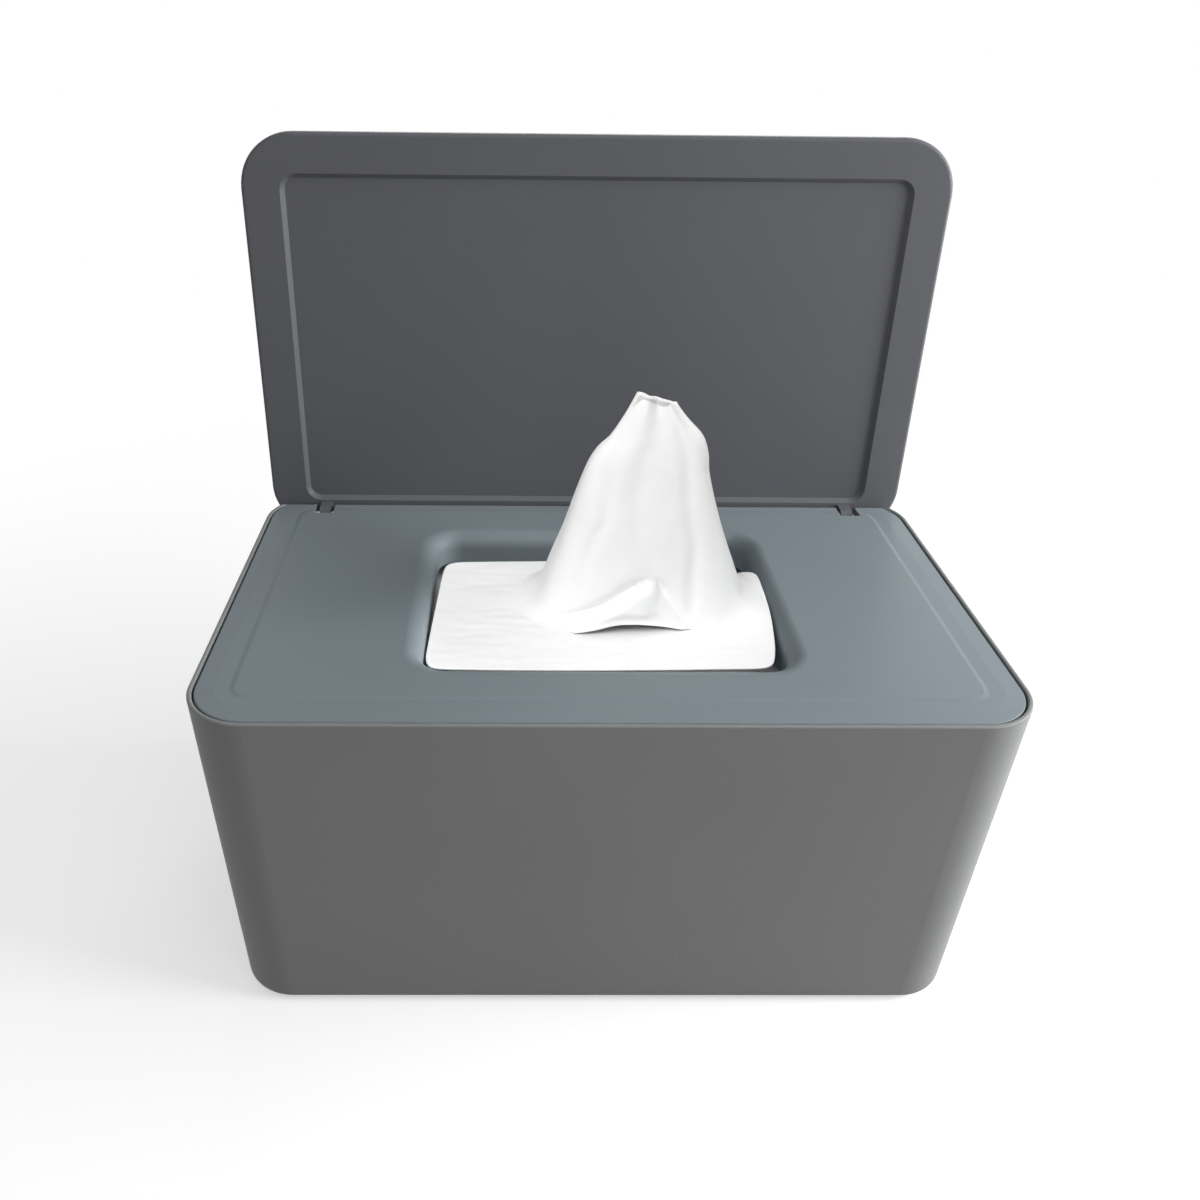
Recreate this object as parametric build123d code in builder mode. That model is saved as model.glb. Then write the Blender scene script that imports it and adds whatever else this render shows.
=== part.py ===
"""Wipes dispenser: tapered body, drop-in top plate with a mouth, and a lid on two hinge lugs.

Millimetres. The origin is the centre of the footprint on the surface that the box stands on.
X runs along the width, +Y points to the rear hinge and +Z is up. The lid stands open.
"""

import os
from math import cos, pi, sin

from build123d import *

os.makedirs("parts", exist_ok=True)

# Body, measured over its outside
body_width = 190.0
body_depth = 116.0
body_height = 89.5
corner_radius = 14.7
base_inset = 4.4
base_corner_radius = 13.2
base_edge_radius = 3.0
inner_edge_radius = 1.75
wall = 2.5
floor_thickness = 2.5
rim_width = 1.15
rim_round = 0.45

# Foot pads under the body
foot_radius = 6.0
foot_proud = 0.8
foot_pocket = 0.8
foot_margin = 24.0
foot_fit = 0.05
foot_round = 0.3

# Top plate that drops into the rim
plate_thickness = 3.0
seam_gap = 0.4
crown_width = 4.0
crown_rise = 0.2
panel_margin = 7.8
panel_slope = 1.2
panel_rise = 0.2
plate_edge_round = 0.4
skirt_wall = 2.0
skirt_depth = 13.5
mouth_width = 87.0
mouth_depth = 66.0
mouth_corner_radius = 6.5
mouth_forward = 1.5
lip_radius = 4.5
collar_wall = 2.0
collar_drop = 5.5

# Gasket round the skirt
gasket_height = 2.0
gasket_groove = 0.6
gasket_lift = 1.5
gasket_round = 0.3

# Lid and its hinge
lid_thickness = 4.0
lid_corner_radius = 14.5
lid_front_inset = 0.4
lid_gap = 0.4
lid_face_round = 1.0
lid_back_round = 1.5
recess_margin = 10.3
recess_depth = 1.2
recess_slope = 1.2
recess_corner_radius = 4.4
hinge_drop = 3.15
lid_clearance = 0.4
relief_clearance = 0.5
lug_margin = 16.3
lug_width = 3.4
lug_radius = 2.6
notch_width = 5.8
notch_clearance = 2.75
notch_floor_clearance = 0.8
ear_width = 3.0
pocket_wall = 1.6
pin_radius = 1.0
pin_fit = 0.02
pin_running_fit = 0.06
pin_end_wall = 0.8
pin_recess = 0.3
pin_chamfer = 0.2

# Wipes inside
soft_gap = 0.3
stack_gap = 5.0
stack_headroom = 4.3
stack_round = 4.0
bulge_inset = 1.5
bulge_spread = 3.5
wipe_drop = 4.2
sheet_thickness = 0.8
sheet_side_gap = 0.8
sheet_front_gap = 3.5
sheet_rear_gap = 9.5
sheet_corner_radius = 5.0
peak_height = 58.0
peak_left_gap = 30.0
peak_right_gap = 6.0
peak_front_gap = 19.0
peak_rear_gap = 12.0
peak_top_width = 11.0
peak_top_depth = 7.0
peak_lean = 3.0
peak_shoulder = 1.2
fold_count = 7
fold_valley = 0.86
peak_levels = 4

# Heights and places that follow from the sizes above
base_z = foot_proud
rim_z = base_z + body_height
plate_underside_z = rim_z - plate_thickness
rear_y = body_depth / 2
lid_face_y = rear_y - lid_thickness
hinge_y = lid_face_y - hinge_drop
hinge_z = rim_z + lid_gap - hinge_drop
lid_height = body_depth - lid_front_inset
lid_bottom_z = hinge_z - (rear_y - hinge_y)
lid_centre_z = lid_bottom_z + lid_height / 2
sweep_radius = hinge_drop - lid_clearance
skirt_half_depth = hinge_y + sweep_radius
skirt_inset = rear_y - skirt_half_depth
skirt_bottom_z = plate_underside_z - skirt_depth
notch_front_y = hinge_y - lug_radius - notch_clearance
notch_floor_z = hinge_z - lug_radius - notch_floor_clearance
plate_inset = rim_width + seam_gap
hinge_spacing = body_width - 2 * lug_margin
pin_inner_x = hinge_spacing / 2 - notch_width / 2 - ear_width + pin_end_wall
pin_length = notch_width + 2 * ear_width - pin_end_wall - pin_recess
collar_bottom_z = plate_underside_z - collar_drop
gasket_z = skirt_bottom_z + gasket_lift
stack_inset = wall + stack_gap
stack_z = base_z + floor_thickness + soft_gap
stack_top = collar_bottom_z - stack_headroom
wipe_level = rim_z - wipe_drop
peak_x = (peak_left_gap - peak_right_gap) / 2
peak_y = (peak_front_gap - peak_rear_gap) / 2 - mouth_forward
peak_base_width = mouth_width - peak_left_gap - peak_right_gap
peak_base_depth = mouth_depth - peak_front_gap - peak_rear_gap


def rounded_outline(inset, mode=Mode.ADD):
    """Sketch the rim's outline, drawn in by an inset."""
    RectangleRounded(body_width - 2 * inset, body_depth - 2 * inset, corner_radius - inset, mode=mode)


def body_outline(z, inset):
    """Sketch the tapered body's outline at a height, drawn in by an inset."""
    share = (rim_z - z) / body_height
    drawn_in = 2 * (base_inset * share + inset)
    radius = corner_radius + (base_corner_radius - corner_radius) * share - inset
    RectangleRounded(body_width - drawn_in, body_depth - drawn_in, radius)


def lid_outline(inset, radius):
    """Sketch the open lid's outline, seen from the front."""
    with Locations((0, lid_centre_z)):
        RectangleRounded(body_width - 2 * inset, lid_height - 2 * inset, radius)


def mouth_outline(margin):
    """Sketch the mouth's outline, drawn out by a margin."""
    with Locations((0, -mouth_forward)):
        RectangleRounded(
            mouth_width + 2 * margin,
            mouth_depth + 2 * margin,
            mouth_corner_radius + margin,
        )


def sheet_outline(inset):
    """Sketch the top wipe's outline inside the mouth, drawn in by an inset."""
    with Locations((0, (sheet_front_gap - sheet_rear_gap) / 2 - mouth_forward)):
        RectangleRounded(
            mouth_width - 2 * (sheet_side_gap + inset),
            mouth_depth - sheet_front_gap - sheet_rear_gap - 2 * inset,
            sheet_corner_radius,
        )


def fold_ring(share):
    """Draw one closed ring of rounded folds, from the peak's base at 0 to its tip at 1."""
    narrowing = share ** peak_shoulder
    half_width = (peak_base_width + (peak_top_width - peak_base_width) * narrowing) / 2
    half_depth = (peak_base_depth + (peak_top_depth - peak_base_depth) * narrowing) / 2

    def on_ring(turn, reach):
        angle = 2 * pi * turn / fold_count
        return (
            peak_x + peak_lean * share + reach * half_width * cos(angle),
            peak_y + reach * half_depth * sin(angle),
        )

    for fold in range(fold_count):
        ThreePointArc(on_ring(fold, fold_valley), on_ring(fold + 0.5, 1), on_ring(fold + 1, fold_valley))


def lid_sweep():
    """Give the section that the lid's inner face needs for its quarter turn about the hinge axis."""
    reach = lid_thickness + hinge_drop
    with BuildSketch(Plane.YZ) as section:
        with Locations((hinge_y, hinge_z)):
            Rectangle(reach, reach, align=(Align.MIN, Align.MIN))
            Circle(sweep_radius, mode=Mode.SUBTRACT)
    return section.sketch


def finish(part, label):
    """Name a piece and write it out."""
    part.label = label
    export_step(part, f"parts/{label}.step")


foot_places = {
    f"{end}_{side}": (x_sign * (body_width / 2 - foot_margin), y_sign * (body_depth / 2 - foot_margin))
    for end, y_sign in (("front", -1), ("rear", 1))
    for side, x_sign in (("left", -1), ("right", 1))
}

# Body shell: tapered box, open at the top, relieved at the rear for the open lid
with BuildPart() as body_shell:
    with BuildSketch(Plane.XY.offset(base_z)):
        body_outline(base_z, 0)
    with BuildSketch(Plane.XY.offset(rim_z)):
        body_outline(rim_z, 0)
    loft(ruled=True)
    fillet(body_shell.faces().sort_by(Axis.Z)[0].edges(), base_edge_radius)
    with BuildSketch(Plane.XY.offset(base_z + floor_thickness)):
        body_outline(base_z + floor_thickness, wall)
    with BuildSketch(Plane.XY.offset(rim_z)):
        body_outline(rim_z, wall)
    loft(ruled=True, mode=Mode.SUBTRACT)
    inner_floor = body_shell.faces().filter_by(Axis.Z).sort_by(Axis.Z)[1]
    fillet(inner_floor.edges(), inner_edge_radius)
    with BuildSketch(Plane.XY.offset(plate_underside_z)):
        rounded_outline(rim_width)
    extrude(amount=plate_thickness, mode=Mode.SUBTRACT)
    fillet(body_shell.faces().sort_by(Axis.Z)[-1].edges(), rim_round)
    with BuildSketch(Plane.XZ.offset(relief_clearance - lid_face_y)):
        lid_outline(-relief_clearance, lid_corner_radius + relief_clearance)
    extrude(amount=-body_depth, mode=Mode.SUBTRACT)
    extrude(lid_sweep(), amount=body_width, both=True, mode=Mode.SUBTRACT)
    with BuildSketch(Plane.XY.offset(base_z)):
        with Locations(*foot_places.values()):
            Circle(foot_radius)
    extrude(amount=foot_pocket, mode=Mode.SUBTRACT)
finish(body_shell.part, "body_shell")

# Top plate: rim-to-rim plate with a low panel, a rolled mouth, a skirt and two hinge pockets
with BuildPart() as top_plate:
    with BuildSketch(Plane.XY.offset(plate_underside_z)):
        rounded_outline(plate_inset)
    extrude(amount=plate_thickness - crown_rise)
    fillet(top_plate.faces().sort_by(Axis.Z)[-1].edges(), plate_edge_round)
    with BuildSketch(Plane.XY.offset(rim_z - crown_rise)):
        rounded_outline(plate_inset + plate_edge_round)
    with BuildSketch(Plane.XY.offset(rim_z)):
        rounded_outline(plate_inset + plate_edge_round + crown_width)
    loft(ruled=True)
    with BuildSketch(Plane.XY.offset(rim_z)):
        rounded_outline(plate_inset + panel_margin)
    with BuildSketch(Plane.XY.offset(rim_z + panel_rise)):
        rounded_outline(plate_inset + panel_margin + panel_slope)
    loft(ruled=True)
    with BuildSketch(Plane.XY.offset(skirt_bottom_z)):
        rounded_outline(skirt_inset)
        rounded_outline(skirt_inset + skirt_wall, Mode.SUBTRACT)
    extrude(amount=skirt_depth)
    with BuildSketch(Plane.XY.offset(collar_bottom_z)):
        mouth_outline(collar_wall)
    extrude(amount=collar_drop)
    with BuildSketch(Plane.XY.offset(notch_floor_z - pocket_wall)):
        with GridLocations(hinge_spacing, 0, 2, 1):
            with Locations((0, notch_front_y - pocket_wall)):
                Rectangle(
                    notch_width + 2 * ear_width,
                    skirt_half_depth - notch_front_y + pocket_wall,
                    align=(Align.CENTER, Align.MIN),
                )
        rounded_outline(skirt_inset, Mode.INTERSECT)
    extrude(amount=plate_underside_z - notch_floor_z + pocket_wall)
    with BuildSketch(Plane.XY.offset(collar_bottom_z)):
        mouth_outline(0)
    extrude(amount=collar_drop + plate_thickness + panel_rise, mode=Mode.SUBTRACT)
    mouth = top_plate.faces().sort_by(Axis.Z)[-1].inner_wires()[0]
    fillet(mouth.edges(), lip_radius)
    extrude(lid_sweep(), amount=body_width, both=True, mode=Mode.SUBTRACT)
    with BuildSketch(Plane.XY.offset(plate_underside_z)):
        with Locations((0, skirt_half_depth)):
            Rectangle(body_width, body_depth, align=(Align.CENTER, Align.MIN))
    extrude(amount=plate_thickness, mode=Mode.SUBTRACT)
    with BuildSketch(Plane.XY.offset(notch_floor_z)):
        with GridLocations(hinge_spacing, 0, 2, 1):
            with Locations((0, notch_front_y)):
                Rectangle(notch_width, body_depth, align=(Align.CENTER, Align.MIN))
    extrude(amount=body_height, mode=Mode.SUBTRACT)
    with BuildSketch(Plane.YZ.offset(pin_inner_x)):
        with Locations((hinge_y, hinge_z)):
            Circle(pin_radius + pin_fit)
    extrude(amount=body_width / 2, mode=Mode.SUBTRACT)
    with BuildSketch(Plane.YZ.offset(-pin_inner_x)):
        with Locations((hinge_y, hinge_z)):
            Circle(pin_radius + pin_fit)
    extrude(amount=-body_width / 2, mode=Mode.SUBTRACT)
    with BuildSketch(Plane.XY.offset(gasket_z)):
        rounded_outline(skirt_inset)
        rounded_outline(skirt_inset + gasket_groove, Mode.SUBTRACT)
    extrude(amount=gasket_height, mode=Mode.SUBTRACT)
finish(top_plate.part, "top_plate")

# Gasket: soft ring in the skirt's groove, just short of the body's wall
with BuildPart() as plate_gasket:
    with BuildSketch(Plane.XY.offset(gasket_z)):
        body_outline(gasket_z, wall + soft_gap)
        rounded_outline(skirt_inset + gasket_groove, Mode.SUBTRACT)
    extrude(amount=gasket_height)
    ring_faces = plate_gasket.faces().filter_by(Axis.Z)
    fillet([edge for face in ring_faces for edge in face.outer_wire().edges()], gasket_round)
finish(plate_gasket.part, "plate_gasket")

# Lid: flat tray with two hinge lugs, standing open
with BuildPart() as lid:
    with BuildSketch(Plane.XZ.offset(-lid_face_y)):
        lid_outline(0, lid_corner_radius)
    extrude(amount=-lid_thickness)
    fillet(lid.faces().sort_by(Axis.Y)[0].edges(), lid_face_round)
    fillet(lid.faces().sort_by(Axis.Y)[-1].edges(), lid_back_round)
    with BuildSketch(Plane.XZ.offset(-lid_face_y)):
        lid_outline(recess_margin, recess_corner_radius)
    with BuildSketch(Plane.XZ.offset(-lid_face_y - recess_depth)):
        lid_outline(recess_margin + recess_slope, recess_corner_radius - recess_slope)
    loft(ruled=True, mode=Mode.SUBTRACT)
    for side in (-1, 1):
        with BuildSketch(Plane.YZ.offset(side * hinge_spacing / 2)):
            with Locations((hinge_y, hinge_z)):
                Circle(lug_radius)
                Rectangle(hinge_drop, 2 * lug_radius, align=(Align.MIN, Align.CENTER))
        extrude(amount=lug_width / 2, both=True)
    with BuildSketch(Plane.YZ):
        with Locations((hinge_y, hinge_z)):
            Circle(pin_radius + pin_running_fit)
    extrude(amount=body_width / 2, both=True, mode=Mode.SUBTRACT)
finish(lid.part, "lid")

# Hinge pins: held in the plate's ears, one at each lug
for side, x_sign in (("left", -1), ("right", 1)):
    with BuildPart() as hinge_pin:
        with BuildSketch(Plane.YZ.offset(x_sign * pin_inner_x)):
            with Locations((hinge_y, hinge_z)):
                Circle(pin_radius)
        extrude(amount=x_sign * pin_length)
        chamfer(hinge_pin.edges().filter_by(GeomType.CIRCLE), pin_chamfer)
    finish(hinge_pin.part, f"hinge_pin_{side}")

# Foot pads: soft discs set into the underside
for corner, place in foot_places.items():
    with BuildPart() as foot_pad:
        with BuildSketch():
            with Locations(place):
                Circle(foot_radius - foot_fit)
        extrude(amount=foot_proud + foot_pocket)
        fillet(foot_pad.faces().sort_by(Axis.Z)[0].edges(), foot_round)
    finish(foot_pad.part, f"foot_pad_{corner}")

# Wipe stack: folded wipes that fill the body and swell into the mouth
with BuildPart() as wipe_stack:
    with BuildSketch(Plane.XY.offset(stack_z)):
        body_outline(base_z, stack_inset)
    extrude(amount=stack_top - stack_z)
    fillet(wipe_stack.faces().sort_by(Axis.Z)[-1].edges(), stack_round)
    with BuildSketch(Plane.XY.offset(stack_top)):
        sheet_outline(bulge_inset - bulge_spread)
    with BuildSketch(Plane.XY.offset(wipe_level - soft_gap)):
        sheet_outline(bulge_inset)
    loft(ruled=True)
finish(wipe_stack.part, "wipe_stack")

# Raised wipe: flat sheet in the mouth, drawn up into a folded peak
with BuildPart() as raised_wipe:
    with BuildSketch(Plane.XY.offset(wipe_level)):
        sheet_outline(0)
    extrude(amount=sheet_thickness)
    for level in range(peak_levels + 1):
        share = level / peak_levels
        peak_z = wipe_level + sheet_thickness / 2 + peak_height * share
        with BuildSketch(Plane.XY.offset(peak_z)):
            with BuildLine():
                fold_ring(share)
            make_face()
    loft()
finish(raised_wipe.part, "raised_wipe")
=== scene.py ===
"""Looks of the wipes dispenser: moulded plastics, soft folded wipes and a plain pale stage."""

import math

import bpy
from bpy.props import FloatProperty, FloatVectorProperty, IntProperty, PointerProperty
from mathutils import Matrix, Vector, noise


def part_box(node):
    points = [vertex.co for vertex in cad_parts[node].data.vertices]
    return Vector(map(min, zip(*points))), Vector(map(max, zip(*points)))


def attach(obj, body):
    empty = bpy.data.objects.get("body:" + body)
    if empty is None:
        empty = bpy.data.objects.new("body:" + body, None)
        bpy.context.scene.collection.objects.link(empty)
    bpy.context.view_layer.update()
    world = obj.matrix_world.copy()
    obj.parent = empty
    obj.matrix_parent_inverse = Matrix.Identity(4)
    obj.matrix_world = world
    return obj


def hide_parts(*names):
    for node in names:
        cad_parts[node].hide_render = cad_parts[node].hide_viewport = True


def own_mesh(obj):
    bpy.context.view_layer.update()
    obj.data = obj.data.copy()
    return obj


bl_info = {
    "name": "Wipes dispenser looks",
    "version": (1, 0, 0),
    "blender": (4, 5, 0),
    "location": "3D View > Sidebar > Dispenser",
    "description": "Dresses the wipes dispenser with its plastics and its wipes, on a plain stage",
    "category": "Object",
}

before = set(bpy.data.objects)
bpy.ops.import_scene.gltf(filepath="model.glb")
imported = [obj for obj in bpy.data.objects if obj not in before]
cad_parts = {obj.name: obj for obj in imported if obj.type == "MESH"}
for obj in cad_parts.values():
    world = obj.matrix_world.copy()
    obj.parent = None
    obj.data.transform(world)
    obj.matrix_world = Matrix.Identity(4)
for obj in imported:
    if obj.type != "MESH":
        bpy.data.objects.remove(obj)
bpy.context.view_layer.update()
MM = 0.001


# Settings that a user would change

def colour(name, description, default):
    """A colour setting, in linear RGB."""
    return FloatVectorProperty(name=name, description=description, default=default,
                               subtype="COLOR", size=3, min=0, max=1)


def length(name, description, default_mm, **limits):
    """A length setting, kept in metres and given in millimetres."""
    return FloatProperty(name=name, description=description, default=default_mm * MM,
                         unit="LENGTH", precision=5, **limits)


def share(name, description, default):
    """A setting from 0 to 1."""
    return FloatProperty(name=name, description=description, default=default,
                         subtype="FACTOR", min=0, max=1)


class PlasticSettings(bpy.types.PropertyGroup):
    """The moulded plastics and the small hardware."""

    body_colour: colour("Body", "Colour of the body's plastic", (0.216, 0.226, 0.224))
    # The plate's plastic is like the body's; its bluer colour is a painted tint of the light from above.
    plate_colour_with_painted_tint: colour("Top plate", "Colour of the top plate's plastic", (0.188, 0.222, 0.242))
    # The lid's plastic is like the body's; its much darker colour is painted shade, for a face that gets
    # little light.
    lid_colour_with_painted_shade: colour("Lid", "Colour of the lid's plastic", (0.107, 0.110, 0.121))
    gasket_colour: colour("Gasket", "Colour of the silicone ring", (0.62, 0.63, 0.62))
    foot_colour: colour("Feet", "Colour of the foot pads", (0.035, 0.035, 0.037))
    pin_colour: colour("Pins", "Colour of the hinge pins", (0.60, 0.60, 0.61))
    roughness: share("Roughness", "How matte the plastic is", 0.52)
    grain_size: length("Grain size", "Width of the moulded texture's grains", 0.45, min=0.0001)
    grain_depth: length("Grain depth", "Depth of the moulded texture", 0.012)
    mottle_size: length("Mottle size", "Width of the faint cloudy patches", 45.0, min=0.001)
    mottle: share("Mottle", "How much the cloudy patches change the colour", 0.06)
    fleck_spacing: length("Fleck spacing", "Distance between the tiny pale flecks", 16.0, min=0.001)
    fleck_size: length("Fleck size", "Width of a pale fleck", 0.45)


class WipeSettings(bpy.types.PropertyGroup):
    """The folded wipes and the one that is drawn up."""

    cloth_colour: colour("Cloth", "Colour of the wipes", (0.86, 0.86, 0.86))
    roughness: share("Roughness", "How matte the cloth is", 0.85)
    fibre_size: length("Fibre size", "Width of the felted fibre clumps", 0.7, min=0.0001)
    fibre_depth: length("Fibre depth", "Depth of the felted surface", 0.05)
    thickness: length("Thickness", "Thickness of one wipe", 0.45, min=0.0001)
    layers: IntProperty(name="Layers", description="Folded wipes in the stack", default=42, min=2)
    wrinkle: length("Wrinkle", "Height of the shallow wrinkles in the flat cloth", 0.3)
    peak_height: length("Peak height", "Height of the drawn-up wipe above the flat cloth", 58.2, min=0.005)
    opening_height: length("Opening height", "Height of the opening at the foot of the drawn-up wipe", 2.9)


class StageSettings(bpy.types.PropertyGroup):
    """The camera, the lamps and the floor."""

    camera_place: FloatVectorProperty(name="Camera", description="Place of the camera",
                                      default=(-0.022059, -0.245997, 0.231768), size=3,
                                      subtype="TRANSLATION", unit="LENGTH")
    yaw: FloatProperty(name="Yaw", description="Turn of the camera to the right",
                       default=math.radians(0.8111), unit="ROTATION")
    pitch: FloatProperty(name="Pitch", description="Tilt of the camera below the horizon",
                         default=math.radians(27.494), unit="ROTATION")
    roll: FloatProperty(name="Roll", description="Clockwise roll of the camera",
                        default=math.radians(0.6948), unit="ROTATION")
    lens: FloatProperty(name="Lens", description="Focal length for a 36 mm sensor",
                        default=32.607, unit="CAMERA")
    shift: FloatVectorProperty(name="Shift", description="Lens shift, as a share of the frame",
                               default=(0.060745, -0.04586), size=2)
    key_place: FloatVectorProperty(name="Key lamp", description="Place of the key lamp",
                                   default=(0.53, -0.08, 0.27), size=3,
                                   subtype="TRANSLATION", unit="LENGTH")
    key_size: length("Key size", "Width of the key lamp", 360.0)
    key_power: FloatProperty(name="Key power", description="Power of the key lamp",
                             default=5.3, unit="POWER")
    fill_power: FloatProperty(name="Fill power", description="Power of the lamp above",
                              default=2.7, unit="POWER")
    back_power: FloatProperty(name="Back power", description="Power of the lamp behind",
                              default=3.0, unit="POWER")
    wipe_power: FloatProperty(name="Wipe power", description="Power of the soft lamp for the wipes alone",
                              default=3.7, unit="POWER")
    wipe_side_power: FloatProperty(name="Wipe side power",
                                   description="Power of the side lamp for the wipes alone",
                                   default=1.3, unit="POWER")
    sky: FloatProperty(name="Sky", description="Level of the light from all round", default=0.19)
    floor_colour: colour("Floor", "Colour of the floor", (0.38, 0.355, 0.33))
    floor_radius: length("Floor radius", "Half width of the floor", 3000.0)


# Shader maths as Python expressions

class Wire:
    """A shader socket that takes part in Python expressions."""

    def __init__(self, shader, socket):
        self.shader = shader
        self.socket = socket

    def math(self, operation, *values):
        """A Math node on these values."""
        return self.shader.node("ShaderNodeMath", {"operation": operation}, dict(enumerate(values)))

    def __add__(self, other):
        return self.math("ADD", self, other)

    def __radd__(self, other):
        return self.math("ADD", other, self)

    def __mul__(self, other):
        return self.math("MULTIPLY", self, other)

    def __lt__(self, other):
        return self.math("LESS_THAN", self, other)

    def or_more(self, other):
        """The larger of two values."""
        return self.math("MAXIMUM", self, other)

    def between(self, low, high):
        """A smooth step from 0 at low to 1 at high."""
        return self.shader.node("ShaderNodeMapRange", {"interpolation_type": "SMOOTHSTEP"},
                                {"Value": self, "From Min": low, "From Max": high})


class Shader:
    """A node tree that is built from Python expressions."""

    def __init__(self, tree):
        self.tree = tree
        self.tree.nodes.clear()

    def node(self, kind, settings=None, inputs=None, output=0):
        """Add a node, set its settings and then its sockets, and give one of its outputs."""
        made = self.tree.nodes.new(kind)
        for name, value in (settings or {}).items():
            setattr(made, name, value)
        for name, value in (inputs or {}).items():
            if isinstance(value, Wire):
                self.tree.links.new(value.socket, made.inputs[name])
            else:
                made.inputs[name].default_value = value
        return Wire(self, made.outputs[output]) if made.outputs else None

    def place(self):
        """The point on the surface, in the row frame."""
        return self.node("ShaderNodeTexCoord", output="Object")

    def noise(self, width, detail=2.0, place=None):
        """Soft noise from 0 to 1 with patches of this width."""
        return self.node("ShaderNodeTexNoise", {"noise_dimensions": "3D"},
                         {"Vector": place or self.place(), "Scale": 1 / width, "Detail": detail})

    def mix(self, amount, first, second):
        """A mix of two colours."""
        made = self.tree.nodes.new("ShaderNodeMix")
        made.data_type = "RGBA"
        ends = {"Factor": amount, "A": first, "B": second}
        for socket in made.inputs:
            value = ends.get(socket.name)
            if value is None or socket.type not in ("RGBA", "VALUE") or not socket.enabled:
                continue
            if isinstance(value, Wire):
                self.tree.links.new(value.socket, socket)
            else:
                socket.default_value = value
        return Wire(self, next(s for s in made.outputs if s.enabled))

    def bump(self, height, depth, strength=1.0, under=None):
        """A bumped normal from a height of 0 to 1 and its depth in metres."""
        inputs = {"Height": height, "Distance": depth, "Strength": strength}
        if under:
            inputs["Normal"] = under
        return self.node("ShaderNodeBump", None, inputs)

    def surface(self, inputs):
        """Finish the material with a Principled surface."""
        made = self.node("ShaderNodeBsdfPrincipled", None, inputs)
        self.node("ShaderNodeOutputMaterial", None, {"Surface": made})


def new_material(name):
    """An empty material and its shader."""
    material = bpy.data.materials.new(name)
    material.use_nodes = True
    return material, Shader(material.node_tree)


# Finishes: how strongly each fine pattern shows, and the darkest and palest shade of each colour

PLASTIC_SHINE = 0.22
CLOTH_SHINE = 0.25
ROUGHNESS_SPREAD = 0.1
FLECK_STRENGTH, FLECK_BRIGHTNESS = 0.35, 2.2
GRAIN_STRENGTH = 0.6
RUBBER_ROUGHNESS, DUST_ROUGHNESS = 0.62, 0.15
STEEL_ROUGHNESS, MARK_ROUGHNESS = 0.25, 0.15
MARK_STRETCH = (1.0, 0.05, 0.05)
FIBRE_STRETCH = (1.0, 0.45, 1.0)
FELT_STRENGTH, CLUMP_STRENGTH = 0.5, 0.3
CLUMP_WIDTH, CLUMP_DEPTH = 9, 3
RUBBER_SHADES, STEEL_SHADES, CLOTH_SHADES = (0.9, 1.15), (0.85, 1.1), (0.97, 1.03)
CLOTH_GLOW, CLOTH_GLOW_REACH = 0.08, (0.001, 0.001, 0.001)


def with_alpha(rgb, level=1.0):
    """A colour for a socket, made brighter or darker."""
    return (*(channel * level for channel in rgb), 1.0)


def shades(rgb, levels):
    """The same colour at two levels."""
    return [with_alpha(rgb, level) for level in levels]


def moulded_plastic(name, base, settings):
    """Matte moulded plastic: fine grain, faint clouds and a few pale flecks."""
    material, shader = new_material(name)
    clouds = shader.noise(settings.mottle_size, detail=3.0)
    grain = shader.noise(settings.grain_size, detail=1.0)
    rub = shader.noise(settings.mottle_size / 4, detail=4.0)
    base_colour = shader.mix(clouds, *shades(base, (1 - settings.mottle, 1 + settings.mottle)))
    cells = {"Vector": shader.place(), "Scale": 1 / settings.fleck_spacing, "Randomness": 1.0}
    near_fleck = shader.node("ShaderNodeTexVoronoi", {"feature": "F1"}, cells, "Distance")
    fleck = near_fleck < settings.fleck_size / settings.fleck_spacing / 2
    base_colour = shader.mix(fleck * FLECK_STRENGTH, base_colour, with_alpha(base, FLECK_BRIGHTNESS))
    shader.surface({
        "Base Color": base_colour,
        "Roughness": settings.roughness - ROUGHNESS_SPREAD / 2 + rub * ROUGHNESS_SPREAD,
        "Specular IOR Level": PLASTIC_SHINE,
        "Normal": shader.bump(grain, settings.grain_depth, GRAIN_STRENGTH),
    })
    return material


def soft_rubber(name, base, settings):
    """Soft rubber or silicone with a dull, slightly dusty skin."""
    material, shader = new_material(name)
    dust = shader.noise(settings.mottle_size / 8, detail=4.0)
    grain = shader.noise(settings.grain_size, detail=2.0)
    shader.surface({
        "Base Color": shader.mix(dust, *shades(base, RUBBER_SHADES)),
        "Roughness": RUBBER_ROUGHNESS + dust * DUST_ROUGHNESS,
        "Normal": shader.bump(grain, settings.grain_depth),
    })
    return material


def drawn_steel(name, base, settings):
    """Drawn steel wire with fine rings of turning marks."""
    material, shader = new_material(name)
    stretched = shader.node("ShaderNodeMapping", None, {"Vector": shader.place(), "Scale": MARK_STRETCH})
    marks = shader.noise(settings.grain_size / 4, detail=3.0, place=stretched)
    shader.surface({
        "Base Color": shader.mix(marks, *shades(base, STEEL_SHADES)),
        "Metallic": 1.0,
        "Roughness": STEEL_ROUGHNESS + marks * MARK_ROUGHNESS,
        "Normal": shader.bump(marks, settings.grain_depth / 4),
    })
    return material


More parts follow.
